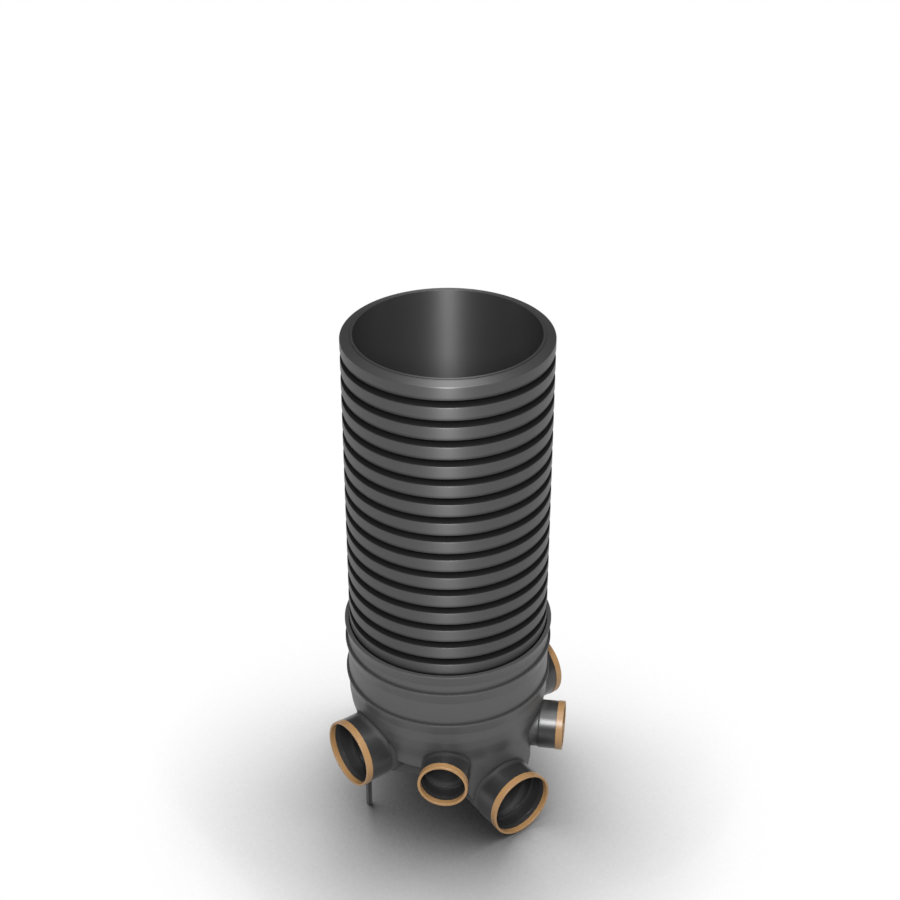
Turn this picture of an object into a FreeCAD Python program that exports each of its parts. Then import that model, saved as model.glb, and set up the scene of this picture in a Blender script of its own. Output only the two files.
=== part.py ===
import FreeCAD, Part
import math
import os
from collections import namedtuple

os.makedirs("parts", exist_ok=True)

# A plastic drain inspection chamber: a moulded base with benched channels and six pipe sockets,
# and a corrugated riser that stands in the round socket on top of the base. Millimetres, +Z up.
# The origin is on the floor, under the middle of the chamber. The main channel runs along Y, and
# the main inlet faces -Y. An azimuth turns from -Y towards +X.

# Riser: a twin-wall pipe whose outer wall is a row of broad ribs
RIB_COUNT = 20
RIB_PITCH = 50.8
RISER_CREST_R = 250.0
RIB_DEPTH = 24.0
RIB_FOOT_HALF_GAP = 1.5
RIB_FLANK_RISE = 6.8
RIB_BEVEL_INSET = 1.7
RIB_BEVEL_HEIGHT = 8.2
RIB_LOWER_ROUNDING = 4.0
RIB_UPPER_ROUNDING = 2.5
RIB_SKIN = 2.7
VALLEY_WALL = 6.0
LINER_WALL = 4.0

# Round socket for the riser, with a guide and a seat ledge at its foot
SOCKET_CLEARANCE = 1.8
SOCKET_WALL = 3.7
SOCKET_DEPTH = 207.5
COLLAR_2_DROP = 54.5
COLLAR_3_DROP = 151.0
RIM_REACH = 6.3
COLLAR_REACH = 6.0
COLLAR_LAND = 4.0
COLLAR_TAPER = 27.0
GUIDE_HEIGHT = 10.5
GUIDE_CLEARANCE = 0.9
GUIDE_CHAMFER = 1.5
SEAT_LENGTH = 5.1
RISER_SEAT_CLEARANCE = 0.3

# Chamber below the socket: the funnel inside, the skirt and the rounded shoulder outside
FUNNEL_INSET = 11.8
FUNNEL_HEIGHT = 35.5
CHAMBER_WALL = 5.7
BENCH_RISE = 61.0
BENCH_THICKNESS = 5.5
SKIRT_DROP = 69.0
SHOULDER_FOOT_RISE = 30.0
SHOULDER_RISE = 70.0
SHOULDER_INSET = 4.5
SHOULDER_TOP_DROP = 4.5
SHOULDER_TOP_INSET = 0.5
SHOULDER_ROUNDING = 60.0

# Channels and the sloping floor between the benching blocks
SIDE_AXIS_RISE = 111.5
BRANCH_OFFSET = 31.5
CHANNEL_WALL = 5.0
PIT_OVERREACH = 19.6
PIT_EDGE_RISE = 28.5
PIT_CORNER_RISE = 18.0

# Pipe sockets for 160 mm pipes
LARGE_PIPE_R = 80.0
LARGE_RING_RISE = 7.3
LARGE_STAND_OFF = 75.8
LARGE_STOP_HEIGHT = 3.5
LARGE_BARREL_LENGTH = 76.0

# Pipe sockets for 110 mm pipes
SMALL_PIPE_R = 55.0
SMALL_RING_RISE = 8.1
SMALL_STAND_OFF = 68.3
SMALL_STOP_HEIGHT = 3.0
SMALL_BARREL_LENGTH = 62.0

# Both kinds of pipe socket
PIPE_CLEARANCE = 1.2
INSERTION_DEPTH = 58.0
NECK_WALL_INSET = 2.6
BARREL_INSET = 1.3
NECK_ROOT_INSET = 34.0
STEP_CHAMFER = 2.0

# Orange retaining ring, and the lip seal that it holds
RING_FLOOR_CLEARANCE = 1.2
RING_FRONT = 3.0
RING_LENGTH = 17.0
RING_SKIN = 2.0
RING_INNER_LENGTH = 14.0
RING_INNER_WALL = 1.8
RING_ROUNDING = 1.2
SEAL_LENGTH = 12.0
SEAL_GROOVE_DEPTH = 2.8
SEAL_LIP = 0.2
SEAL_ROUNDING = 0.8

# Feet: a keel under the main channel, two legs, and the curtain walls round the main sockets
KEEL_WIDTH = 12.0
KEEL_INSET = 2.0
KEEL_HEIGHT = 10.0
LEG_SIDE = 11.0
LEG_OUTSET = 16.3
LEG_ROOT = 5.0
CURTAIN_SIDE = 18.7
CURTAIN_SHOULDER_RISE = 36.5
CURTAIN_FOOT_HALF_WIDTH = 45.0
CURTAIN_FOOT_Z = 6.0
CURTAIN_LAP = 8.0

# Riser seal in the lowest full valley
RISER_SEAL_CLEARANCE = 0.3
RISER_SEAL_HALF_HEAD = 3.5
RISER_SEAL_ROUNDING = 1.5
RISER_SEAL_NECK_HEIGHT = 16.0

# Height by which cutting bodies pass the face that they open
PASS = 1.0

# Diagonal of a square of side one
DIAGONAL = math.sqrt(2)

# Radii that follow from the sizes above
RISER_VALLEY_R = RISER_CREST_R - RIB_DEPTH
RISER_BORE_R = RISER_VALLEY_R - VALLEY_WALL
RIB_BEVEL_R = RISER_CREST_R - RIB_BEVEL_INSET
RISER_SEAL_NECK_R = RISER_VALLEY_R + RISER_SEAL_NECK_HEIGHT
SOCKET_BORE_R = RISER_CREST_R + SOCKET_CLEARANCE
SOCKET_OUTER_R = SOCKET_BORE_R + SOCKET_WALL
GUIDE_R = RISER_CREST_R + GUIDE_CLEARANCE
SEAT_R = GUIDE_R - SEAT_LENGTH
CHAMBER_R = SEAT_R - FUNNEL_INSET
CHAMBER_OUTER_R = CHAMBER_R + CHAMBER_WALL
SHOULDER_R = SOCKET_OUTER_R - SHOULDER_INSET
PIT_HALF_DIAGONAL = CHAMBER_R + PIT_OVERREACH
NECK_ROOT_REACH = CHAMBER_R - NECK_ROOT_INSET
KEEL_LENGTH = 2 * (CHAMBER_R - KEEL_INSET)
LEG_REACH = CHAMBER_OUTER_R + LEG_OUTSET

# A pipe socket's pipe radius, ring radius, reach of its mouth, bore behind the pipe stop, and the
# length of its wider barrel
PipeSize = namedtuple("PipeSize", "pipe_r ring_r mouth_reach neck_bore_r barrel_length")
LARGE = PipeSize(
    LARGE_PIPE_R,
    LARGE_PIPE_R + LARGE_RING_RISE,
    CHAMBER_OUTER_R + LARGE_STAND_OFF,
    LARGE_PIPE_R - LARGE_STOP_HEIGHT,
    LARGE_BARREL_LENGTH,
)
SMALL = PipeSize(
    SMALL_PIPE_R,
    SMALL_PIPE_R + SMALL_RING_RISE,
    CHAMBER_OUTER_R + SMALL_STAND_OFF,
    SMALL_PIPE_R - SMALL_STOP_HEIGHT,
    SMALL_BARREL_LENGTH,
)
CURTAIN_HALF_WIDTH = LARGE.ring_r + CURTAIN_SIDE

# Heights, from the floor up
MAIN_AXIS_Z = LARGE.ring_r + RING_FLOOR_CLEARANCE
SIDE_AXIS_Z = MAIN_AXIS_Z + SIDE_AXIS_RISE
BENCH_Z = SIDE_AXIS_Z + BENCH_RISE
BENCH_UNDER_Z = BENCH_Z - BENCH_THICKNESS
SEAT_Z = BENCH_Z + FUNNEL_HEIGHT
GUIDE_TOP_Z = SEAT_Z + GUIDE_HEIGHT
RIM_Z = SEAT_Z + SOCKET_DEPTH
COLLAR_2_Z = RIM_Z - COLLAR_2_DROP
COLLAR_3_Z = RIM_Z - COLLAR_3_DROP
SKIRT_Z = BENCH_Z - SKIRT_DROP
SHOULDER_FOOT_Z = SKIRT_Z + SHOULDER_FOOT_RISE
SHOULDER_Z = SKIRT_Z + SHOULDER_RISE
SHOULDER_TOP_Z = SEAT_Z - SHOULDER_TOP_DROP
PIT_EDGE_Z = MAIN_AXIS_Z + PIT_EDGE_RISE
PIT_CORNER_Z = PIT_EDGE_Z + PIT_CORNER_RISE
LEG_TOP_Z = SIDE_AXIS_Z - LARGE_PIPE_R + LEG_ROOT
CURTAIN_TOP_Z = SKIRT_Z + CURTAIN_LAP
CURTAIN_SHOULDER_Z = MAIN_AXIS_Z + CURTAIN_SHOULDER_RISE

# The riser stands with its lowest flank on the seat
RISER_LENGTH = RIB_COUNT * RIB_PITCH
LOWER_FLANK_SLOPE = RIB_FLANK_RISE / (RIB_BEVEL_R - RISER_VALLEY_R)
UPPER_FLANK_SLOPE = RIB_FLANK_RISE / (RISER_CREST_R - RISER_VALLEY_R)
SEAT_TOP_Z = SEAT_Z + SEAT_LENGTH * LOWER_FLANK_SLOPE
RISER_BASE_Z = (
    SEAT_Z
    + RISER_SEAT_CLEARANCE
    - RIB_FOOT_HALF_GAP
    - (SEAT_R - RISER_VALLEY_R) * LOWER_FLANK_SLOPE
)


def vec(x, y, z):
    return FreeCAD.Vector(x, y, z)


ORIGIN = vec(0, 0, 0)
UP = vec(0, 0, 1)
ACROSS = vec(1, 0, 0)

Socket = namedtuple("Socket", "name size azimuth offset height")
SOCKETS = (
    Socket("main_inlet", LARGE, 0, 0, MAIN_AXIS_Z),
    Socket("outlet", LARGE, 180, 0, MAIN_AXIS_Z),
    Socket("left_inlet", LARGE, -90, 0, SIDE_AXIS_Z),
    Socket("right_inlet", LARGE, 90, 0, SIDE_AXIS_Z),
    Socket("left_branch", SMALL, -45, BRANCH_OFFSET, SIDE_AXIS_Z),
    Socket("right_branch", SMALL, 45, -BRANCH_OFFSET, SIDE_AXIS_Z),
)


def outline(corners):
    """Closed wire in the XZ plane through (radius, height, rounding) corners."""
    points = [vec(radius, 0, height) for radius, height, _ in corners]
    edges = []
    stretches = []
    for index, (_, _, rounding) in enumerate(corners):
        here = points[index]
        if not rounding:
            stretches.append((here, here))
            continue
        back = (points[index - 1] - here).normalize()
        ahead = (points[(index + 1) % len(points)] - here).normalize()
        half_angle = back.getAngle(ahead) / 2
        reach = rounding / math.tan(half_angle)
        inward = (back + ahead).normalize()
        crown = here + inward * (rounding / math.sin(half_angle) - rounding)
        stretches.append((here + back * reach, here + ahead * reach))
        edges.append(Part.Arc(stretches[-1][0], crown, stretches[-1][1]).toShape())
    for index, (_, leaving) in enumerate(stretches):
        arriving = stretches[(index + 1) % len(stretches)][0]
        edges.append(Part.LineSegment(leaving, arriving).toShape())
    return Part.Wire(Part.__sortEdges__(edges))


def turned(corners):
    """Solid turned about +Z from an outline of (radius, height, rounding) corners."""
    return Part.Face(outline(corners)).revolve(ORIGIN, UP, 360)


def ring(inner_r, outer_r, low_z, high_z):
    """Plain ring about +Z."""
    return turned(((inner_r, low_z, 0), (outer_r, low_z, 0), (outer_r, high_z, 0), (inner_r, high_z, 0)))


def aimed(shape, azimuth, offset, height):
    """Lay a shape built along +Z so that it points out at an azimuth, and set it at its place."""
    shape.rotate(ORIGIN, ACROSS, 90)
    shape.translate(vec(offset, 0, height))
    shape.rotate(ORIGIN, UP, azimuth)
    return shape


def at_socket(shape, socket):
    """Set a shape built along +Z from the chamber's middle on a socket's axis."""
    return aimed(shape, socket.azimuth, socket.offset, socket.height)


def socket_bore_r(size):
    return size.pipe_r + PIPE_CLEARANCE


# Riser

def rib_corners(foot_z):
    """Outer outline of one rib, from the valley below it to the valley above."""
    crown_z = foot_z + RIB_PITCH - RIB_FOOT_HALF_GAP
    bevel_z = foot_z + RIB_FOOT_HALF_GAP + RIB_FLANK_RISE
    return [
        (RISER_VALLEY_R, foot_z + RIB_FOOT_HALF_GAP, 0),
        (RIB_BEVEL_R, bevel_z, RIB_LOWER_ROUNDING),
        (RISER_CREST_R, bevel_z + RIB_BEVEL_HEIGHT, 0),
        (RISER_CREST_R, crown_z - RIB_FLANK_RISE, RIB_UPPER_ROUNDING),
        (RISER_VALLEY_R, crown_z, 0),
    ]


def rib_cavity(foot_z):
    """Closed hollow between one rib and the liner."""
    root_r = RISER_BORE_R + LINER_WALL
    head_r = RISER_CREST_R - RIB_SKIN
    low_z = foot_z + RIB_FOOT_HALF_GAP
    high_z = foot_z + RIB_PITCH - RIB_FOOT_HALF_GAP
    corners = (
        (root_r, low_z + RIB_SKIN + (root_r - RISER_VALLEY_R) * LOWER_FLANK_SLOPE, 0),
        (head_r, low_z + RIB_SKIN + (head_r - RISER_VALLEY_R) * LOWER_FLANK_SLOPE, 0),
        (head_r, high_z - RIB_SKIN - (head_r - RISER_VALLEY_R) * UPPER_FLANK_SLOPE, 0),
        (root_r, high_z - RIB_SKIN - (root_r - RISER_VALLEY_R) * UPPER_FLANK_SLOPE, 0),
    )
    return turned(corners)


def make_riser_pipe():
    corners = [(RISER_BORE_R, 0, 0), (RISER_VALLEY_R, 0, 0)]
    cavities = []
    for rib in range(RIB_COUNT):
        foot_z = rib * RIB_PITCH
        corners.extend(rib_corners(foot_z))
        cavities.append(rib_cavity(foot_z))
    corners.append((RISER_VALLEY_R, RISER_LENGTH, 0))
    corners.append((RISER_BORE_R, RISER_LENGTH, 0))
    pipe = turned(corners).cut(Part.makeCompound(cavities))
    pipe.translate(vec(0, 0, RISER_BASE_Z))
    return pipe


def make_riser_seal():
    """Rubber ring that fills the valley between the two lowest ribs and stands proud of them."""
    valley_z = RIB_PITCH
    low_root_z = valley_z - RIB_FOOT_HALF_GAP
    high_root_z = valley_z + RIB_FOOT_HALF_GAP
    neck_depth = RISER_SEAL_NECK_R - RISER_VALLEY_R
    head_r = SOCKET_BORE_R - RISER_SEAL_CLEARANCE
    corners = (
        (RISER_VALLEY_R, low_root_z, 0),
        (RISER_SEAL_NECK_R, low_root_z - neck_depth * UPPER_FLANK_SLOPE, 0),
        (head_r, valley_z - RISER_SEAL_HALF_HEAD, RISER_SEAL_ROUNDING),
        (head_r, valley_z + RISER_SEAL_HALF_HEAD, RISER_SEAL_ROUNDING),
        (RISER_SEAL_NECK_R, high_root_z + neck_depth * LOWER_FLANK_SLOPE, 0),
        (RISER_VALLEY_R, high_root_z, 0),
    )
    seal = turned(corners)
    seal.translate(vec(0, 0, RISER_BASE_Z))
    return seal


# Base

def collar_corners(top_z, reach):
    """Outer outline of one collar, from its tapered foot to the ledge on its top."""
    land_z = top_z - COLLAR_LAND
    collar_r = SOCKET_OUTER_R + reach
    return [
        (SOCKET_OUTER_R, land_z - COLLAR_TAPER, 0),
        (collar_r, land_z, 0),
        (collar_r, top_z, 0),
    ]


def chamber_outside():
    """Skirt, shoulder and collared socket, filled in down to the underside of the benching."""
    corners = [
        (0, BENCH_UNDER_Z, 0),
        (CHAMBER_R, BENCH_UNDER_Z, 0),
        (CHAMBER_R, SKIRT_Z, 0),
        (CHAMBER_OUTER_R, SKIRT_Z, 0),
        (CHAMBER_OUTER_R, SHOULDER_FOOT_Z, SHOULDER_ROUNDING),
        (SHOULDER_R, SHOULDER_Z, SHOULDER_ROUNDING),
        (SOCKET_OUTER_R - SHOULDER_TOP_INSET, SHOULDER_TOP_Z, 0),
    ]
    corners += collar_corners(COLLAR_3_Z, COLLAR_REACH)
    corners.append((SOCKET_OUTER_R, COLLAR_3_Z, 0))
    corners += collar_corners(COLLAR_2_Z, COLLAR_REACH)
    corners.append((SOCKET_OUTER_R, COLLAR_2_Z, 0))
    corners += collar_corners(RIM_Z, RIM_REACH)
    corners.append((0, RIM_Z, 0))
    return turned(corners)


def chamber_inside():
    """Space of the riser socket, its seat and the funnel down to the benching."""
    corners = (
        (0, BENCH_Z, 0),
        (CHAMBER_R, BENCH_Z, 0),
        (SEAT_R, SEAT_Z, 0),
        (GUIDE_R, SEAT_TOP_Z, 0),
        (GUIDE_R, GUIDE_TOP_Z, 0),
        (SOCKET_BORE_R, GUIDE_TOP_Z + GUIDE_CHAMFER, 0),
        (SOCKET_BORE_R, RIM_Z + PASS, 0),
        (0, RIM_Z + PASS, 0),
    )
    return turned(corners)


def trough(half_width, rise, length, start=0.0):
    """Half-round channel with straight sides, along +Z, with its open side towards +Y."""
    left = vec(-half_width, 0, start)
    right = vec(half_width, 0, start)
    left_top = vec(-half_width, rise, start)
    right_top = vec(half_width, rise, start)
    edges = [
        Part.Arc(left, vec(0, -half_width, start), right).toShape(),
        Part.LineSegment(right, right_top).toShape(),
        Part.LineSegment(right_top, left_top).toShape(),
        Part.LineSegment(left_top, left).toShape(),
    ]
    return Part.Face(Part.Wire(edges)).extrude(vec(0, 0, length))


def pit(grown, top_z):
    """Square space between the benching blocks, with a floor that falls to the main channel."""
    corner = PIT_HALF_DIAGONAL + grown * DIAGONAL
    edge = LARGE.neck_bore_r
    floor = (
        (-corner, PIT_CORNER_Z - grown),
        (-edge, PIT_EDGE_Z - grown),
        (edge, PIT_EDGE_Z - grown),
        (corner, PIT_CORNER_Z - grown),
        (corner, top_z),
        (-corner, top_z),
    )
    section = Part.makePolygon([vec(x, -corner, z) for x, z in floor + floor[:1]])
    layer = Part.Face(section).extrude(vec(0, 2 * corner, 0))
    plan = ((corner, 0), (0, corner), (-corner, 0), (0, -corner), (corner, 0))
    square = Part.Face(Part.makePolygon([vec(x, y, 0) for x, y in plan]))
    return layer.common(square.extrude(vec(0, 0, top_z + PASS)))


def channels(grown, top_z, rim_r):
    """The pit and each socket's channel, cut off at the chamber's wall."""
    spaces = [pit(grown, top_z)]
    for socket in SOCKETS:
        half_width = socket.size.neck_bore_r + grown
        spaces.append(at_socket(trough(half_width, top_z - socket.height, rim_r + PASS), socket))
    within = Part.makeCylinder(rim_r, top_z)
    return [space.common(within) for space in spaces]


def socket_outside(size):
    """Neck and barrel of one pipe socket along +Z, with the rebate for its ring."""
    barrel_r = size.ring_r - BARREL_INSET
    neck_r = barrel_r - NECK_WALL_INSET
    step = size.mouth_reach - size.barrel_length
    rebate = size.mouth_reach - RING_LENGTH
    rebate_r = size.ring_r - RING_SKIN
    corners = (
        (0, NECK_ROOT_REACH, 0),
        (neck_r, NECK_ROOT_REACH, 0),
        (neck_r, step, 0),
        (barrel_r - STEP_CHAMFER / 2, step, 0),
        (barrel_r, step + STEP_CHAMFER, 0),
        (barrel_r, rebate, 0),
        (rebate_r, rebate, 0),
        (rebate_r, size.mouth_reach - RING_FRONT, 0),
        (0, size.mouth_reach - RING_FRONT, 0),
    )
    return turned(corners)


def socket_inside(size):
    """Bore of one pipe socket along +Z, with the pipe stop and the seal's groove."""
    bore_r = socket_bore_r(size)
    stop = size.mouth_reach - INSERTION_DEPTH
    groove_front = size.mouth_reach - RING_INNER_LENGTH
    groove_back = groove_front - SEAL_LENGTH
    groove_r = bore_r + SEAL_GROOVE_DEPTH
    mouth_r = bore_r + RING_INNER_WALL
    corners = (
        (0, NECK_ROOT_REACH, 0),
        (size.neck_bore_r, NECK_ROOT_REACH, 0),
        (size.neck_bore_r, stop, 0),
        (bore_r, stop, 0),
        (bore_r, groove_back, 0),
        (groove_r, groove_back, 0),
        (groove_r, groove_front, 0),
        (mouth_r, groove_front, 0),
        (mouth_r, size.mouth_reach + PASS, 0),
        (0, size.mouth_reach + PASS, 0),
    )
    return turned(corners)


def curtain_wall():
    """Lower skirt that closes the chamber's wall round the two main sockets."""
    half = (
        (CURTAIN_HALF_WIDTH, CURTAIN_TOP_Z),
        (CURTAIN_HALF_WIDTH, CURTAIN_SHOULDER_Z),
        (CURTAIN_FOOT_HALF_WIDTH, CURTAIN_FOOT_Z),
    )
    mirrored = tuple((-x, z) for x, z in reversed(half))
    plan = half + mirrored + half[:1]
    section = Part.makePolygon([vec(x, -CHAMBER_OUTER_R, z) for x, z in plan])
    apron = Part.Face(section).extrude(vec(0, 2 * CHAMBER_OUTER_R, 0))
    return apron.common(ring(CHAMBER_R, CHAMBER_OUTER_R, 0, CURTAIN_TOP_Z))


def feet():
    """Keel under the main channel and the two square legs under the side sockets."""
    keel = Part.makeBox(KEEL_WIDTH, KEEL_LENGTH, KEEL_HEIGHT, vec(-KEEL_WIDTH / 2, -KEEL_LENGTH / 2, 0))
    legs = []
    for side in (-1, 1):
        corner = vec(side * LEG_REACH - LEG_SIDE / 2, -LEG_SIDE / 2, 0)
        legs.append(Part.makeBox(LEG_SIDE, LEG_SIDE, LEG_TOP_Z, corner))
    return [keel] + legs


def make_base_shell():
    outside = channels(CHANNEL_WALL, BENCH_Z, CHAMBER_OUTER_R)
    outside.append(curtain_wall())
    outside += feet()
    outside += [at_socket(socket_outside(socket.size), socket) for socket in SOCKETS]
    inside = channels(0.0, BENCH_Z + PASS, CHAMBER_R)
    inside += [at_socket(socket_inside(socket.size), socket) for socket in SOCKETS]
    solid = chamber_outside().fuse(outside)
    space = chamber_inside().fuse(inside)
    return solid.cut(space).removeSplitter()


# Retaining rings and lip seals

def make_ring(size):
    """Retaining ring along +Z: a front flange with an outer and an inner skirt."""
    bore_r = socket_bore_r(size)
    front = size.mouth_reach
    back_of_front = front - RING_FRONT
    corners = (
        (bore_r, front - RING_INNER_LENGTH, 0),
        (bore_r + RING_INNER_WALL, front - RING_INNER_LENGTH, 0),
        (bore_r + RING_INNER_WALL, back_of_front, 0),
        (size.ring_r - RING_SKIN, back_of_front, 0),
        (size.ring_r - RING_SKIN, front - RING_LENGTH, 0),
        (size.ring_r, front - RING_LENGTH, 0),
        (size.ring_r, front, RING_ROUNDING),
        (bore_r, front, RING_ROUNDING),
    )
    return turned(corners)


def make_seal(size):
    """Lip seal along +Z, in its groove behind the ring's inner skirt."""
    bore_r = socket_bore_r(size)
    front = size.mouth_reach - RING_INNER_LENGTH
    back = front - SEAL_LENGTH
    groove_r = bore_r + SEAL_GROOVE_DEPTH
    corners = (
        (bore_r - SEAL_LIP, back, SEAL_ROUNDING),
        (groove_r, back, 0),
        (groove_r, front, 0),
        (bore_r, front, 0),
    )
    return turned(corners)


def export(shape, node):
    shape.exportStep("parts/" + node + ".step")
    print(node, shape.isValid(), len(shape.Solids), round(shape.Volume / 1000, 1), "cm3")


export(make_base_shell(), "base_shell")
export(make_riser_pipe(), "riser_pipe")
export(make_riser_seal(), "riser_seal")
for socket in SOCKETS:
    export(at_socket(make_ring(socket.size), socket), socket.name + "_ring")
    export(at_socket(make_seal(socket.size), socket), socket.name + "_seal")
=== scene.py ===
"""Looks of a plastic drain inspection chamber: its benched base, orange socket rings and ribbed riser."""

import logging
import math
from dataclasses import dataclass
from enum import Enum

import bmesh
import bpy
from mathutils import Matrix, Vector


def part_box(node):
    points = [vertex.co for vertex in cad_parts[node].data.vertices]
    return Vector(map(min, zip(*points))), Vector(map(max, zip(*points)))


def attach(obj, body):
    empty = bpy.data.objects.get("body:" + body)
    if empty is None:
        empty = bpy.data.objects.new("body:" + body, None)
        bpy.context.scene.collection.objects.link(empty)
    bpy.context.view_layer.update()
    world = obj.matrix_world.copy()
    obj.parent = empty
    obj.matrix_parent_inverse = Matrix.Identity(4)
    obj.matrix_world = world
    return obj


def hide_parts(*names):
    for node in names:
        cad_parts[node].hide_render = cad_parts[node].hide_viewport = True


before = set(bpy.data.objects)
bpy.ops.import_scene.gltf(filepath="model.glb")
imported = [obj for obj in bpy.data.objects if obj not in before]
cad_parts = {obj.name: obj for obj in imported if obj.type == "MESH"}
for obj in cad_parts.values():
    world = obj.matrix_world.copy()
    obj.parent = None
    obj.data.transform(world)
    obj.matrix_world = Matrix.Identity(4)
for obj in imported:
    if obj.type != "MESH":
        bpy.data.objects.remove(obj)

LOG = logging.getLogger("inspection_chamber")
MM = 0.001
SOCKET_NAMES = ("main_inlet", "outlet", "left_inlet", "right_inlet", "left_branch", "right_branch")

# Radii of the riser that its shape and its finish share
RISER_BORE_MM = 220.0
RISER_CREST_MM = 250.0
RIB_BEVEL_INSET_MM = 1.7

# The Mix node's inputs and outputs by place, because their names repeat
MIX_SHARE = 0
MIX_FIRST_NUMBER = 2
MIX_SECOND_NUMBER = 3
MIX_FIRST_COLOUR = 6
MIX_SECOND_COLOUR = 7
MIXED_NUMBER = 0
MIXED_COLOUR = 2


class Body(Enum):
    """Rigid bodies of the chamber."""

    BASE = "base"
    RISER = "riser"


class Slot(Enum):
    """Material slots of the record."""

    MOULDED = "moulded_grey_polypropylene"
    EXTRUDED = "extruded_grey_polypropylene"
    ORANGE = "orange_polypropylene"
    RUBBER = "black_rubber"


def linear(hex_colour: str) -> tuple[float, float, float, float]:
    """Turn an sRGB hex colour into linear light, by the curve of the sRGB standard.

    Args:
        hex_colour: Six hex digits, with or without a leading hash.

    Returns:
        Red, green, blue and an alpha of one.
    """
    digits = hex_colour.lstrip("#")
    channels = [int(digits[place:place + 2], 16) / 255 for place in (0, 2, 4)]
    red, green, blue = (c / 12.92 if c <= 0.04045 else ((c + 0.055) / 1.055) ** 2.4 for c in channels)
    return (red, green, blue, 1.0)


def add_node(tree: bpy.types.NodeTree, kind: str, settings: dict | None = None,
             inputs: dict | None = None) -> bpy.types.Node:
    """Add a node and fill it in.

    Args:
        tree: Node tree that gets the node.
        kind: Type name of the node.
        settings: Attributes of the node and their values.
        inputs: Values or output sockets for the node's inputs, by name or number.

    Returns:
        The new node.
    """
    node = tree.nodes.new(kind)
    for name, value in (settings or {}).items():
        setattr(node, name, value)
    for key, value in (inputs or {}).items():
        if isinstance(value, bpy.types.NodeSocket):
            tree.links.new(value, node.inputs[key])
        else:
            node.inputs[key].default_value = value
    return node


def reach_and_height(tree: bpy.types.NodeTree,
                     place: bpy.types.NodeSocket) -> tuple[bpy.types.NodeSocket, bpy.types.NodeSocket]:
    """Split a place into its distance from the chamber's axis and its height.

    Args:
        tree: Node tree of the material.
        place: Place on the object in millimetres.

    Returns:
        Distance from the axis and height, in millimetres.
    """
    parts = add_node(tree, "ShaderNodeSeparateXYZ", None, {"Vector": place})
    flat = add_node(tree, "ShaderNodeCombineXYZ", None, {"X": parts.outputs["X"], "Y": parts.outputs["Y"]})
    reach = add_node(tree, "ShaderNodeVectorMath", {"operation": "LENGTH"}, {0: flat.outputs["Vector"]})
    return reach.outputs["Value"], parts.outputs["Z"]


@dataclass(frozen=True)
class Pattern:
    """Noise over a skin, by the size of its spots and how finely they break up."""

    spot_mm: float
    detail: float
    breakup: float

    def inputs(self, place: bpy.types.NodeSocket) -> dict:
        """Inputs of a noise node that reads a place in millimetres."""
        return {"Vector": place, "Scale": 1 / self.spot_mm, "Detail": self.detail, "Roughness": self.breakup}


@dataclass(frozen=True)
class WallLine:
    """Straight wall of the chamber in section, by its radius at two heights."""

    low_z_mm: float
    high_z_mm: float
    low_r_mm: float
    high_r_mm: float

    def radius(self, tree: bpy.types.NodeTree, height: bpy.types.NodeSocket) -> bpy.types.NodeSocket:
        """Find the wall's radius at a height.

        Args:
            tree: Node tree of the material.
            height: Height in millimetres.

        Returns:
            The radius in millimetres, held at its end values below and above the wall.
        """
        line = add_node(tree, "ShaderNodeMapRange", None, {
            "Value": height, "From Min": self.low_z_mm, "From Max": self.high_z_mm,
            "To Min": self.low_r_mm, "To Max": self.high_r_mm})
        return line.outputs["Result"]


@dataclass(frozen=True)
class PaintedShade:
    """Painted shade: a dark, dull look painted on the places that other walls hem in, such as rib valleys
    and joint lines.
    """

    reach_mm: float
    power: float
    own_walls_only: bool
    # Colour and roughness of the painted shade
    colour: str = "#131314"
    roughness: float = 1.0
    samples: int = 8

    def open_share(self, tree: bpy.types.NodeTree) -> bpy.types.NodeSocket:
        """Find how open a place is.

        Args:
            tree: Node tree of the material.

        Returns:
            The share, from none deep in a crease to whole on an open wall.
        """
        sky = add_node(tree, "ShaderNodeAmbientOcclusion", {
            "samples": self.samples, "only_local": self.own_walls_only}, {"Distance": self.reach_mm * MM})
        share = add_node(tree, "ShaderNodeMath", {"operation": "POWER"}, {
            0: sky.outputs["AO"], 1: self.power})
        return share.outputs["Value"]

    def darkened(self, tree: bpy.types.NodeTree, lit: bpy.types.NodeSocket, inputs: dict) -> dict:
        """Blend a skin towards the painted shade's dark, dull look.

        Args:
            tree: Node tree of the material.
            lit: Share of the open skin's look.
            inputs: Shader inputs of the open skin.

        Returns:
            The shader inputs with their colour and roughness blended.
        """
        tint = add_node(tree, "ShaderNodeMix", {"data_type": "RGBA"}, {
            MIX_SHARE: lit, MIX_FIRST_COLOUR: linear(self.colour), MIX_SECOND_COLOUR: inputs["Base Color"]})
        gloss = add_node(tree, "ShaderNodeMix", {"data_type": "FLOAT"}, {
            MIX_SHARE: lit, MIX_FIRST_NUMBER: self.roughness, MIX_SECOND_NUMBER: inputs["Roughness"]})
        return {**inputs, "Base Color": tint.outputs[MIXED_COLOUR], "Roughness": gloss.outputs[MIXED_NUMBER]}


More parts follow.
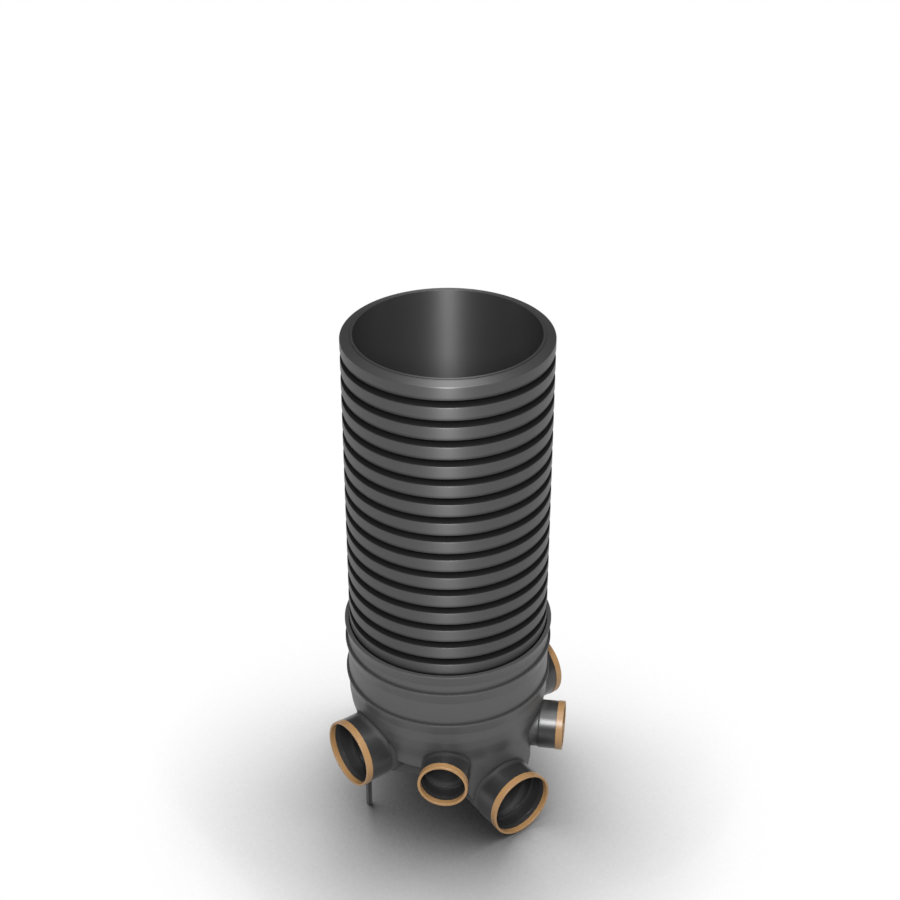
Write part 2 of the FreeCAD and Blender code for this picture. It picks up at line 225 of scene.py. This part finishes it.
@dataclass(frozen=True)
class Plastic:
    """Plastic or rubber skin: a faintly mottled colour, a soft gloss and a fine moulded grain."""

    slot: Slot
    colour: str
    mottle_colour: str
    roughness: float
    roughness_spread: float
    grain: Pattern
    grain_depth_mm: float
    edge_radius_mm: float
    specular: float = 0.5
    ior: float = 1.49
    mottle: Pattern = Pattern(spot_mm=60.0, detail=4.0, breakup=0.55)
    smear: Pattern = Pattern(spot_mm=14.0, detail=3.0, breakup=0.5)
    edge_samples: int = 6

    def material(self) -> bpy.types.Material:
        """Build the procedural material.

        Returns:
            The material, named after its slot.
        """
        made = bpy.data.materials.new(self.slot.value)
        made.use_nodes = True
        tree = made.node_tree
        tree.nodes.clear()
        place = add_node(tree, "ShaderNodeTexCoord")
        in_mm = add_node(tree, "ShaderNodeMapping", None, {
            "Vector": place.outputs["Object"], "Scale": (1 / MM, 1 / MM, 1 / MM)})
        inputs = self.shader_inputs(tree, in_mm.outputs["Vector"])
        skin = add_node(tree, "ShaderNodeBsdfPrincipled", None, inputs)
        add_node(tree, "ShaderNodeOutputMaterial", None, {"Surface": skin.outputs["BSDF"]})
        return made

    def shader_inputs(self, tree: bpy.types.NodeTree, place: bpy.types.NodeSocket) -> dict:
        """Work out what the shader gets.

        Args:
            tree: Node tree of the material.
            place: Place on the object in millimetres.

        Returns:
            Values or output sockets for the shader's inputs, by name.
        """
        mottle = add_node(tree, "ShaderNodeTexNoise", None, self.mottle.inputs(place))
        tint = add_node(tree, "ShaderNodeMix", {"data_type": "RGBA"}, {
            MIX_SHARE: mottle.outputs["Fac"], MIX_FIRST_COLOUR: linear(self.colour),
            MIX_SECOND_COLOUR: linear(self.mottle_colour)})
        smear = add_node(tree, "ShaderNodeTexNoise", None, self.smear.inputs(place))
        gloss = add_node(tree, "ShaderNodeMapRange", None, {
            "Value": smear.outputs["Fac"],
            "To Min": self.roughness - self.roughness_spread,
            "To Max": self.roughness + self.roughness_spread})
        edges = add_node(tree, "ShaderNodeBevel", {"samples": self.edge_samples}, {
            "Radius": self.edge_radius_mm * MM})
        grain = add_node(tree, "ShaderNodeTexNoise", None, self.grain.inputs(place))
        grained = add_node(tree, "ShaderNodeBump", None, {
            "Strength": 1.0, "Distance": self.grain_depth_mm * MM,
            "Height": grain.outputs["Fac"], "Normal": edges.outputs["Normal"]})
        return {
            "Base Color": tint.outputs[MIXED_COLOUR], "Roughness": gloss.outputs["Result"],
            "IOR": self.ior, "Specular IOR Level": self.specular, "Normal": grained.outputs["Normal"]}


@dataclass(frozen=True)
class MouldedShell(Plastic):
    """Skin of the base: satin on the chamber's outside; sleeker, with painted shade, on the barrels and
    inside.
    """

    # The barrels' painted shade and sleeker gloss come in between these distances outside the chamber's wall
    barrel_shade_colour: str = "#242425"
    barrel_roughness: float = 0.34
    barrel_near_mm: float = 2.0
    barrel_far_mm: float = 22.0

    # The chamber's inside takes a share of it, and the riser socket above the shoulder takes none
    lining_blend_mm: float = 2.0
    inside_shade_and_gloss_share: float = 0.6
    rim_blend_mm: float = 1.0
    shoulder: WallLine = WallLine(low_z_mm=205.0, high_z_mm=300.0, low_r_mm=239.7, high_r_mm=256.0)
    funnel: WallLine = WallLine(low_z_mm=250.0, high_z_mm=262.0, low_r_mm=237.5, high_r_mm=248.0)
    # Painted shade in the joint lines, darker where nearby walls of the base hem a place in
    joint_line_shade: PaintedShade = PaintedShade(reach_mm=10.0, power=2.5, own_walls_only=True)

    def shader_inputs(self, tree: bpy.types.NodeTree, place: bpy.types.NodeSocket) -> dict:
        """Add painted shade and a sleeker gloss on the barrels and inside, and painted shade in the joint
        lines.

        Args:
            tree: Node tree of the material.
            place: Place on the object in millimetres.

        Returns:
            Values or output sockets for the shader's inputs, by name.
        """
        inputs = super().shader_inputs(tree, place)
        barrel = self.barrel_shade_and_gloss_share(tree, place)
        # Painted shade: a darker colour on the barrels and inside the chamber; the lower roughness there is
        # the sleeker gloss
        tint = add_node(tree, "ShaderNodeMix", {"data_type": "RGBA"}, {
            MIX_SHARE: barrel, MIX_FIRST_COLOUR: inputs["Base Color"],
            MIX_SECOND_COLOUR: linear(self.barrel_shade_colour)})
        gloss = add_node(tree, "ShaderNodeMix", {"data_type": "FLOAT"}, {
            MIX_SHARE: barrel, MIX_FIRST_NUMBER: inputs["Roughness"],
            MIX_SECOND_NUMBER: self.barrel_roughness})
        inputs["Base Color"] = tint.outputs[MIXED_COLOUR]
        inputs["Roughness"] = gloss.outputs[MIXED_NUMBER]
        return self.joint_line_shade.darkened(tree, self.joint_line_shade.open_share(tree), inputs)

    def barrel_shade_and_gloss_share(self, tree: bpy.types.NodeTree, place: bpy.types.NodeSocket) -> bpy.types.NodeSocket:
        """Share of the skin that gets painted shade and a sleeker gloss: pipe sockets and inner chamber.

        Args:
            tree: Node tree of the material.
            place: Place on the object in millimetres.

        Returns:
            The share: none on the chamber's outer wall, whole on the barrels and partly inside the chamber.
        """
        reach, height = reach_and_height(tree, place)
        past_wall = add_node(tree, "ShaderNodeMath", {"operation": "SUBTRACT"}, {
            0: reach, 1: self.shoulder.radius(tree, height)})
        outward = add_node(tree, "ShaderNodeMapRange", {"interpolation_type": "SMOOTHSTEP"}, {
            "Value": past_wall.outputs["Value"],
            "From Min": self.barrel_near_mm, "From Max": self.barrel_far_mm})
        inside = add_node(tree, "ShaderNodeMath", {"operation": "SUBTRACT"}, {
            0: self.funnel.radius(tree, height), 1: reach})
        inward = add_node(tree, "ShaderNodeMapRange", None, {
            "Value": inside.outputs["Value"], "From Max": self.lining_blend_mm, "To Max": self.inside_shade_and_gloss_share})
        either = add_node(tree, "ShaderNodeMath", {"operation": "MAXIMUM"}, {
            0: outward.outputs["Result"], 1: inward.outputs["Result"]})
        below_rim = add_node(tree, "ShaderNodeMapRange", None, {
            "Value": height, "From Min": self.shoulder.high_z_mm,
            "From Max": self.shoulder.high_z_mm - self.rim_blend_mm})
        share = add_node(tree, "ShaderNodeMath", {"operation": "MULTIPLY"}, {
            0: either.outputs["Value"], 1: below_rim.outputs["Result"]})
        return share.outputs["Value"]


@dataclass(frozen=True)
class DrawnPipe(Plastic):
    """Skin of the riser: lines and streaky gloss round the pipe, with painted shade in the valleys between
    its ribs.
    """

    # Drawn lines: their height and their run round the pipe, and the streak that they give the gloss
    lines: Pattern = Pattern(spot_mm=2.0, detail=3.0, breakup=0.6)
    line_run_mm: float = 500.0
    line_depth_mm: float = 0.025
    streak: float = 0.8
    streak_turn: float = 0.25

    # The ribs' slanting feet get painted shade along with the valleys, and the bore and the top lip stay
    # clear
    crest_blend_mm: float = 0.2
    rib_foot_unshaded_share: float = 0.32
    bore_margin_mm: float = 3.0
    lip_height_mm: float = 9.26
    groove_shade: PaintedShade = PaintedShade(reach_mm=26.0, power=2.2, own_walls_only=False)

    def shader_inputs(self, tree: bpy.types.NodeTree, place: bpy.types.NodeSocket) -> dict:
        """Add the drawn lines, the streaky gloss and the painted shade between and under the ribs.

        Args:
            tree: Node tree of the material.
            place: Place on the object in millimetres.

        Returns:
            Values or output sockets for the shader's inputs, by name.
        """
        inputs = super().shader_inputs(tree, place)
        inputs["Normal"] = self.lined(tree, place, inputs["Normal"])
        # Painted shade: deep in the valleys and on the ribs' slanting feet the colour darkens, the gloss
        # dulls and the reflection is cut
        lit = add_node(tree, "ShaderNodeMath", {"operation": "MULTIPLY"}, {
            0: self.groove_shade.open_share(tree), 1: self.rib_unshaded_share(tree, place)})
        shine = add_node(tree, "ShaderNodeMath", {"operation": "MULTIPLY"}, {
            0: lit.outputs["Value"], 1: self.specular})
        around = add_node(tree, "ShaderNodeTangent", {"direction_type": "RADIAL", "axis": "Z"})
        inputs["Specular IOR Level"] = shine.outputs["Value"]
        inputs["Tangent"] = around.outputs["Tangent"]
        inputs["Anisotropic"] = self.streak
        inputs["Anisotropic Rotation"] = self.streak_turn
        return self.groove_shade.darkened(tree, lit.outputs["Value"], inputs)

    def lined(self, tree: bpy.types.NodeTree, place: bpy.types.NodeSocket,
              normal: bpy.types.NodeSocket) -> bpy.types.NodeSocket:
        """Press the drawn lines into a normal.

        Args:
            tree: Node tree of the material.
            place: Place on the object in millimetres.
            normal: Normal without the lines.

        Returns:
            The normal with the lines, which run round the pipe.
        """
        squeeze = self.lines.spot_mm / self.line_run_mm
        stretched = add_node(tree, "ShaderNodeMapping", None, {
            "Vector": place, "Scale": (squeeze, squeeze, 1.0)})
        lines = add_node(tree, "ShaderNodeTexNoise", None, self.lines.inputs(stretched.outputs["Vector"]))
        pressed = add_node(tree, "ShaderNodeBump", None, {
            "Strength": 1.0, "Distance": self.line_depth_mm * MM,
            "Height": lines.outputs["Fac"], "Normal": normal})
        return pressed.outputs["Normal"]

    def rib_unshaded_share(self, tree: bpy.types.NodeTree, place: bpy.types.NodeSocket) -> bpy.types.NodeSocket:
        """Share of the unshaded look that the ribs keep: all on their crests, little on their slanting feet,
        which get painted shade.

        Args:
            tree: Node tree of the material.
            place: Place on the object in millimetres.

        Returns:
            The share, which is whole in the bore and on the pipe's top lip too.
        """
        reach, height = reach_and_height(tree, place)
        pipe_top_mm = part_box("riser_pipe")[1].z / MM
        ribs = add_node(tree, "ShaderNodeMapRange", None, {
            "Value": reach, "From Min": RISER_CREST_MM - RIB_BEVEL_INSET_MM,
            "From Max": RISER_CREST_MM - self.crest_blend_mm, "To Min": self.rib_foot_unshaded_share})
        bore = add_node(tree, "ShaderNodeMath", {"operation": "LESS_THAN"}, {
            0: reach, 1: RISER_BORE_MM + self.bore_margin_mm})
        lip = add_node(tree, "ShaderNodeMath", {"operation": "GREATER_THAN"}, {
            0: height, 1: pipe_top_mm - self.lip_height_mm})
        smooth_wall = add_node(tree, "ShaderNodeMath", {"operation": "MAXIMUM"}, {
            0: bore.outputs["Value"], 1: lip.outputs["Value"]})
        share = add_node(tree, "ShaderNodeMath", {"operation": "MAXIMUM"}, {
            0: smooth_wall.outputs["Value"], 1: ribs.outputs["Result"]})
        return share.outputs["Value"]


# Injection-moulded polypropylene: dark grey and satin, with a faint orange-peel skin.
# The real peel is under a millimetre, and is drawn coarser so that it shows
MOULDED_BASE = MouldedShell(
    slot=Slot.MOULDED, colour="#39393A", mottle_colour="#3E3E3F", roughness=0.46, roughness_spread=0.04,
    grain=Pattern(spot_mm=3.0, detail=2.0, breakup=0.5), grain_depth_mm=0.012, edge_radius_mm=1.8,
    specular=0.65)

# Extruded and corrugated polypropylene: darker, with faint lines round the pipe that streak its gloss
EXTRUDED_RISER = DrawnPipe(
    slot=Slot.EXTRUDED, colour="#242425", mottle_colour="#282829", roughness=0.47, roughness_spread=0.03,
    grain=Pattern(spot_mm=2.5, detail=2.0, breakup=0.5), grain_depth_mm=0.006, edge_radius_mm=0.9,
    specular=0.9)

# Injection-moulded orange polypropylene: a tan orange, sleeker than the base, with soft bright edges
ORANGE_RING = Plastic(
    slot=Slot.ORANGE, colour="#8E6C46", mottle_colour="#94724B", roughness=0.38, roughness_spread=0.05,
    grain=Pattern(spot_mm=2.0, detail=2.0, breakup=0.5), grain_depth_mm=0.01, edge_radius_mm=0.8)

# Moulded rubber: near black and dull, with a dusty bloom that lifts it to dark grey
RUBBER_SEAL = Plastic(
    slot=Slot.RUBBER, colour="#222222", mottle_colour="#282828", roughness=0.62, roughness_spread=0.06,
    grain=Pattern(spot_mm=1.5, detail=2.0, breakup=0.5), grain_depth_mm=0.015, edge_radius_mm=0.5,
    specular=0.4)


def give_material(piece: bpy.types.Object, material: bpy.types.Material) -> None:
    """Put one material in every slot of a piece.

    Args:
        piece: Piece to dress.
        material: Its finish.
    """
    for slot in piece.material_slots:
        slot.material = material
    LOG.info("dressed %s", piece.name)


@dataclass
class Base:
    """Moulded chamber base with its riser socket, channels, pipe sockets and legs."""

    shell: str = "base_shell"

    def dress(self, material: bpy.types.Material) -> None:
        """Give the shell its finish."""
        give_material(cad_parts[self.shell], material)


@dataclass
class SocketFittings:
    """Orange retaining rings and rubber seals of the six pipe sockets."""

    names: tuple[str, ...] = SOCKET_NAMES

    def dress(self, ring_material: bpy.types.Material, seal_material: bpy.types.Material) -> None:
        """Give each ring and seal its finish.

        Args:
            ring_material: Finish of the rings.
            seal_material: Finish of the seals.
        """
        for name in self.names:
            give_material(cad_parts[name + "_ring"], ring_material)
            give_material(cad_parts[name + "_seal"], seal_material)


@dataclass
class Riser:
    """Corrugated twin-wall pipe that stands in the base's socket, with the seal in its lowest valley."""

    seal: str = "riser_seal"
    rib_count: int = 20
    bore_r: float = RISER_BORE_MM * MM
    crest_r: float = RISER_CREST_MM * MM
    valley_r: float = 226.0 * MM
    foot_half_gap: float = 1.5 * MM
    flank_rise: float = 6.8 * MM
    bevel_inset: float = RIB_BEVEL_INSET_MM * MM
    bevel_height: float = 10.6 * MM
    lower_rounding: float = 4.0 * MM
    upper_rounding: float = 2.5 * MM
    corner_steps: int = 8
    segments: int = 192
    crease_degrees: float = 10.5
    rib_weld: float = 0.05 * MM
    seam_weld: float = 0.02 * MM

    def rib_outline(self, pitch: float) -> list[tuple[float, float]]:
        """Outer outline of one rib, from the valley below to the valley above.

        Args:
            pitch: Height of one rib and valley together.

        Returns:
            Radius and height of each point.
        """
        bevel_r = self.crest_r - self.bevel_inset
        low = self.foot_half_gap
        high = pitch - self.foot_half_gap
        corners = (
            (self.valley_r, 0.0, 0.0),
            (self.valley_r, low, 0.0),
            (bevel_r, low + self.flank_rise, self.lower_rounding),
            (self.crest_r, low + self.flank_rise + self.bevel_height, 0.0),
            (self.crest_r, high - self.flank_rise, self.upper_rounding),
            (self.valley_r, high, 0.0),
            (self.valley_r, pitch, 0.0),
        )
        return rounded_outline(corners, self.corner_steps)

    def build(self, material: bpy.types.Material) -> bpy.types.Object:
        """Repeat the rib up the pipe, close it with its liner, and put it in the CAD riser's place.

        Args:
            material: Finish of the pipe.

        Returns:
            The finished pipe.
        """
        low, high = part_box("riser_pipe")
        pitch = (high.z - low.z) / self.rib_count
        rib = turned_mesh("riser_rib", self.rib_outline(pitch), low.z, self.segments)
        ribs = applied_tree(rib, rib_tree(), {
            "Rib count": self.rib_count, "Rib pitch": pitch, "Weld distance": self.rib_weld,
            "Finish": material}, "riser_ribs")
        length = high.z - low.z
        liner = turned_mesh("riser_liner", [
            (self.valley_r, length), (self.bore_r, length), (self.bore_r, 0.0), (self.valley_r, 0.0)],
            low.z, self.segments)
        pipe = joined([ribs, liner], "riser_ribbed_pipe", material, self.seam_weld)
        smooth_by_angle(pipe, self.crease_degrees)
        weigh_normals(pipe)
        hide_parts("riser_pipe")
        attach(pipe, Body.RISER.value)
        LOG.info("built %s with %d faces", pipe.name, len(pipe.data.polygons))
        return pipe

    def dress_seal(self, material: bpy.types.Material) -> None:
        """Give the seal its finish."""
        give_material(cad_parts[self.seal], material)


def rounded_outline(corners: tuple[tuple[float, float, float], ...],
                    steps: int) -> list[tuple[float, float]]:
    """Open outline through corners, each rounded by its own radius.

    Args:
        corners: Radius, height and rounding of each corner.
        steps: Straight steps on each rounded corner.

    Returns:
        Radius and height of each point.
    """
    points: list[tuple[float, float]] = []
    for index, (radius, height, rounding) in enumerate(corners):
        here = Vector((radius, height))
        if not rounding:
            points.append((here.x, here.y))
            continue
        back = (Vector(corners[index - 1][:2]) - here).normalized()
        ahead = (Vector(corners[index + 1][:2]) - here).normalized()
        half_angle = back.angle(ahead) / 2
        centre = here + (back + ahead).normalized() * (rounding / math.sin(half_angle))
        start = here + back * (rounding / math.tan(half_angle)) - centre
        end = here + ahead * (rounding / math.tan(half_angle)) - centre
        for step in range(steps + 1):
            spoke = start.slerp(end, step / steps)
            points.append(tuple(centre + spoke.normalized() * rounding))
    return points


def turned_mesh(name: str, outline: list[tuple[float, float]], foot: float,
                segments: int) -> bpy.types.Object:
    """Surface turned about +Z from an open outline.

    Args:
        name: Name of the new object.
        outline: Radius and height of each point.
        foot: Height of the outline's zero.
        segments: Steps round the circle.

    Returns:
        The new object, linked to the scene.
    """
    mesh = bpy.data.meshes.new(name)
    shape = bmesh.new()
    rings = []
    for radius, height in outline:
        ring = []
        for step in range(segments):
            angle = math.tau * step / segments
            ring.append(shape.verts.new((radius * math.cos(angle), radius * math.sin(angle), foot + height)))
        rings.append(ring)
    for lower, upper in zip(rings, rings[1:]):
        for step in range(segments):
            following = (step + 1) % segments
            shape.faces.new((lower[step], lower[following], upper[following], upper[step]))
    shape.to_mesh(mesh)
    shape.free()
    return placed(name, mesh)


def placed(name: str, mesh: bpy.types.Mesh) -> bpy.types.Object:
    """Put a mesh into the scene.

    Args:
        name: Name of the new object.
        mesh: Its mesh.

    Returns:
        The new object, at the origin.
    """
    made = bpy.data.objects.new(name, mesh)
    bpy.context.scene.collection.objects.link(made)
    return made


def rib_tree() -> bpy.types.NodeTree:
    """Geometry tree that stacks copies of a rib along +Z and welds them.

    Returns:
        The tree, with inputs for the count, the pitch, the weld distance and the finish.
    """
    tree = bpy.data.node_groups.new("stacked_ribs", "GeometryNodeTree")
    for name, kind in (("Geometry", "NodeSocketGeometry"), ("Rib count", "NodeSocketInt"),
                       ("Rib pitch", "NodeSocketFloat"), ("Weld distance", "NodeSocketFloat"),
                       ("Finish", "NodeSocketMaterial")):
        tree.interface.new_socket(name, in_out="INPUT", socket_type=kind)
    tree.interface.new_socket("Geometry", in_out="OUTPUT", socket_type="NodeSocketGeometry")
    given = add_node(tree, "NodeGroupInput")
    step = add_node(tree, "ShaderNodeCombineXYZ", None, {"Z": given.outputs["Rib pitch"]})
    stack = add_node(tree, "GeometryNodeMeshLine", {"mode": "OFFSET"}, {
        "Count": given.outputs["Rib count"], "Offset": step.outputs["Vector"]})
    copies = add_node(tree, "GeometryNodeInstanceOnPoints", None, {
        "Points": stack.outputs["Mesh"], "Instance": given.outputs["Geometry"]})
    real = add_node(tree, "GeometryNodeRealizeInstances", None, {"Geometry": copies.outputs["Instances"]})
    welded = add_node(tree, "GeometryNodeMergeByDistance", None, {
        "Geometry": real.outputs["Geometry"], "Distance": given.outputs["Weld distance"]})
    dressed = add_node(tree, "GeometryNodeSetMaterial", None, {
        "Geometry": welded.outputs["Geometry"], "Material": given.outputs["Finish"]})
    add_node(tree, "NodeGroupOutput", None, {"Geometry": dressed.outputs["Geometry"]})
    return tree


def applied_tree(piece: bpy.types.Object, tree: bpy.types.NodeTree, settings: dict,
                 name: str) -> bpy.types.Object:
    """Run a geometry tree on a piece and keep the result as a plain mesh.

    Args:
        piece: Object that the tree starts from. It is removed.
        tree: Geometry tree to run.
        settings: Values of the tree's inputs, by name.
        name: Name of the new object.

    Returns:
        The new object, linked to the scene.
    """
    modifier = piece.modifiers.new(tree.name, "NODES")
    modifier.node_group = tree
    for socket in tree.interface.items_tree:
        if socket.in_out == "INPUT" and socket.name in settings:
            modifier[socket.identifier] = settings[socket.name]
    mesh = evaluated_mesh(piece)
    mesh.name = name
    bpy.data.objects.remove(piece)
    return placed(name, mesh)


def evaluated_mesh(piece: bpy.types.Object) -> bpy.types.Mesh:
    """Mesh of a piece with its modifiers applied.

    Args:
        piece: Object with modifiers.

    Returns:
        A new plain mesh.
    """
    evaluated = piece.evaluated_get(bpy.context.evaluated_depsgraph_get())
    return bpy.data.meshes.new_from_object(evaluated)


def joined(pieces: list[bpy.types.Object], name: str, material: bpy.types.Material,
           weld: float) -> bpy.types.Object:
    """Join pieces into one welded object of one material.

    Args:
        pieces: Objects to join. They are removed.
        name: Name of the new object.
        material: Finish of the whole object.
        weld: Distance under which points become one.

    Returns:
        The new object, linked to the scene.
    """
    shape = bmesh.new()
    for piece in pieces:
        shape.from_mesh(piece.data)
    bmesh.ops.remove_doubles(shape, verts=shape.verts, dist=weld)
    bmesh.ops.recalc_face_normals(shape, faces=shape.faces)
    for face in shape.faces:
        face.material_index = 0
    mesh = bpy.data.meshes.new(name)
    shape.to_mesh(mesh)
    shape.free()
    mesh.materials.append(material)
    for piece in pieces:
        bpy.data.objects.remove(piece)
    return placed(name, mesh)


def smooth_by_angle(piece: bpy.types.Object, degrees: float) -> None:
    """Shade a piece smooth, with sharp edges past an angle.

    Args:
        piece: Object to shade.
        degrees: Angle between faces from which their edge stays sharp.
    """
    shape = bmesh.new()
    shape.from_mesh(piece.data)
    for face in shape.faces:
        face.smooth = True
    for edge in shape.edges:
        edge.smooth = len(edge.link_faces) == 2 and edge.calc_face_angle() < math.radians(degrees)
    shape.to_mesh(piece.data)
    shape.free()


def weigh_normals(piece: bpy.types.Object) -> None:
    """Let the broad faces of a piece set its normals, so that small roundings don't shade across them.

    Args:
        piece: Smooth-shaded object. Its mesh is replaced by one that holds the new normals.
    """
    modifier = piece.modifiers.new("weighted_normals", "WEIGHTED_NORMAL")
    modifier.keep_sharp = True
    weighted = evaluated_mesh(piece)
    piece.modifiers.remove(modifier)
    plain = piece.data
    piece.data = weighted
    bpy.data.meshes.remove(plain)
    weighted.name = piece.name


@dataclass(frozen=True)
class PhotoCamera:
    """Camera at the photograph's place, fitted to the round edges of the riser, the rim and the rings.

    Angles are in degrees, and the azimuth is counted from the side of the main inlet.
    """

    azimuth: float = -36.5
    distance: float = 3494.3 * MM
    height: float = 3101.1 * MM
    pitch_down: float = 31.161
    yaw_right: float = 0.082
    lens: float = 68.27
    sensor: float = 36.0
    far_clip: float = 100.0

    def build(self) -> bpy.types.Object:
        """Make the scene's camera.

        Returns:
            The camera.
        """
        data = bpy.data.cameras.new("photo_camera")
        data.sensor_width = self.sensor
        data.lens = self.lens
        data.clip_end = self.far_clip
        camera = bpy.data.objects.new("photo_camera", data)
        bpy.context.scene.collection.objects.link(camera)
        turn = Matrix.Rotation(math.radians(self.azimuth), 4, "Z")
        stand = turn @ Matrix.Translation((0.0, -self.distance, self.height))
        yaw = Matrix.Rotation(-math.radians(self.yaw_right), 4, "Z")
        tilt = Matrix.Rotation(math.radians(90.0 - self.pitch_down), 4, "X")
        camera.matrix_world = stand @ yaw @ tilt
        bpy.context.scene.camera = camera
        return camera


@dataclass(frozen=True)
class Lamp:
    """Soft rectangular lamp on a stand, aimed at the chamber.

    Sizes are in metres, power is in watts, and the azimuth is in degrees from the side of the main inlet.
    """

    name: str
    azimuth: float
    distance: float
    height: float
    width: float
    length: float
    power: float
    aim_height: float = 0.8

    def build(self) -> None:
        """Hang the lamp and aim it at the chamber's axis."""
        turn = Matrix.Rotation(math.radians(self.azimuth), 4, "Z")
        place = turn @ Vector((0.0, -self.distance, self.height))
        data = bpy.data.lights.new(self.name, "AREA")
        data.shape = "RECTANGLE"
        data.energy = self.power
        data.size = self.width
        data.size_y = self.length
        lamp = bpy.data.objects.new(self.name, data)
        lamp.location = place
        lamp.rotation_mode = "QUATERNION"
        lamp.rotation_quaternion = (Vector((0.0, 0.0, self.aim_height)) - place).to_track_quat("-Z", "Y")
        bpy.context.scene.collection.objects.link(lamp)


@dataclass(frozen=True)
class Studio:
    """White floor with a soft painted contact shadow, white surround and soft lamps."""

    floor_half_width: float = 40.0

    # Painted contact shadow: its reach, its depth as seen and as it lights the chamber, and the way it leans
    shadow_reach: float = 0.6
    shadow_power: float = 2.3
    bounce_power: float = 1.2
    shadow_lean: float = 0.85
    shadow_azimuth: float = -36.5
    shadow_samples: int = 16

    # Surround: its light near the horizon and overhead, and the sines of elevation between which it rises
    horizon_strength: float = 0.09
    zenith_strength: float = 0.62
    fade_low: float = 0.4
    fade_high: float = 1.0

    lamps: tuple[Lamp, ...] = (
        Lamp("strip", azimuth=-36.8, distance=2.6, height=2.9, width=0.22, length=1.2, power=160.0,
             aim_height=1.2),
        Lamp("overhead", azimuth=0.0, distance=0.4, height=5.2, width=2.6, length=2.6, power=130.0),
    )

    def build(self) -> None:
        """Make the floor, the world and the lamps."""
        self.make_floor()
        self.make_world()
        for lamp in self.lamps:
            lamp.build()

    def make_floor(self) -> None:
        """Lay the floor, whose glow fades under and behind the chamber in a painted contact shadow."""
        mesh = bpy.data.meshes.new("floor")
        half = self.floor_half_width
        corners = [(-half, -half, 0.0), (half, -half, 0.0), (half, half, 0.0), (-half, half, 0.0)]
        mesh.from_pydata(corners, [], [(0, 1, 2, 3)])
        floor = placed("floor", mesh)
        paint = bpy.data.materials.new("floor_paint")
        paint.use_nodes = True
        tree = paint.node_tree
        tree.nodes.clear()
        turn = Matrix.Rotation(math.radians(self.shadow_azimuth), 4, "Z")
        lean = (turn @ Vector((0.0, self.shadow_lean, 1.0))).normalized()
        leaning = add_node(tree, "ShaderNodeCombineXYZ", None, dict(zip("XYZ", lean)))
        # The painted shadow darkens the floor's glow by ambient occlusion
        shade = add_node(tree, "ShaderNodeAmbientOcclusion", {"samples": self.shadow_samples}, {
            "Distance": self.shadow_reach, "Normal": leaning.outputs["Vector"]})
        path = add_node(tree, "ShaderNodeLightPath")
        power = add_node(tree, "ShaderNodeMapRange", None, {
            "Value": path.outputs["Is Camera Ray"],
            "To Min": self.bounce_power, "To Max": self.shadow_power})
        strength = add_node(tree, "ShaderNodeMath", {"operation": "POWER"}, {
            0: shade.outputs["AO"], 1: power.outputs["Result"]})
        white = add_node(tree, "ShaderNodeEmission", None, {"Strength": strength.outputs["Value"]})
        add_node(tree, "ShaderNodeOutputMaterial", None, {"Surface": white.outputs["Emission"]})
        mesh.materials.append(paint)

    def make_world(self) -> None:
        """Light the chamber from a surround that is brighter overhead than at the horizon, seen as white."""
        world = bpy.data.worlds.new("surround")
        bpy.context.scene.world = world
        world.use_nodes = True
        tree = world.node_tree
        tree.nodes.clear()
        path = add_node(tree, "ShaderNodeLightPath")
        towards = add_node(tree, "ShaderNodeTexCoord")
        parts = add_node(tree, "ShaderNodeSeparateXYZ", None, {"Vector": towards.outputs["Generated"]})
        fade = add_node(tree, "ShaderNodeMapRange", {"interpolation_type": "SMOOTHSTEP"}, {
            "Value": parts.outputs["Z"], "From Min": self.fade_low, "From Max": self.fade_high,
            "To Min": self.horizon_strength, "To Max": self.zenith_strength})
        strength = add_node(tree, "ShaderNodeMapRange", None, {
            "Value": path.outputs["Is Camera Ray"], "To Min": fade.outputs["Result"]})
        glow = add_node(tree, "ShaderNodeBackground", None, {
            "Color": (1.0, 1.0, 1.0, 1.0), "Strength": strength.outputs["Result"]})
        add_node(tree, "ShaderNodeOutputWorld", None, {"Surface": glow.outputs["Background"]})


def main() -> None:
    """Set the stage, then build and dress every piece."""
    logging.basicConfig(level=logging.INFO, format="%(message)s")
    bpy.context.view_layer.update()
    bpy.context.scene.view_settings.view_transform = "Standard"
    PhotoCamera().build()
    Studio().build()
    rubber = RUBBER_SEAL.material()
    Base().dress(MOULDED_BASE.material())
    riser = Riser()
    riser.build(EXTRUDED_RISER.material())
    riser.dress_seal(rubber)
    SocketFittings().dress(ORANGE_RING.material(), rubber)


if __name__ == "__main__":
    main()
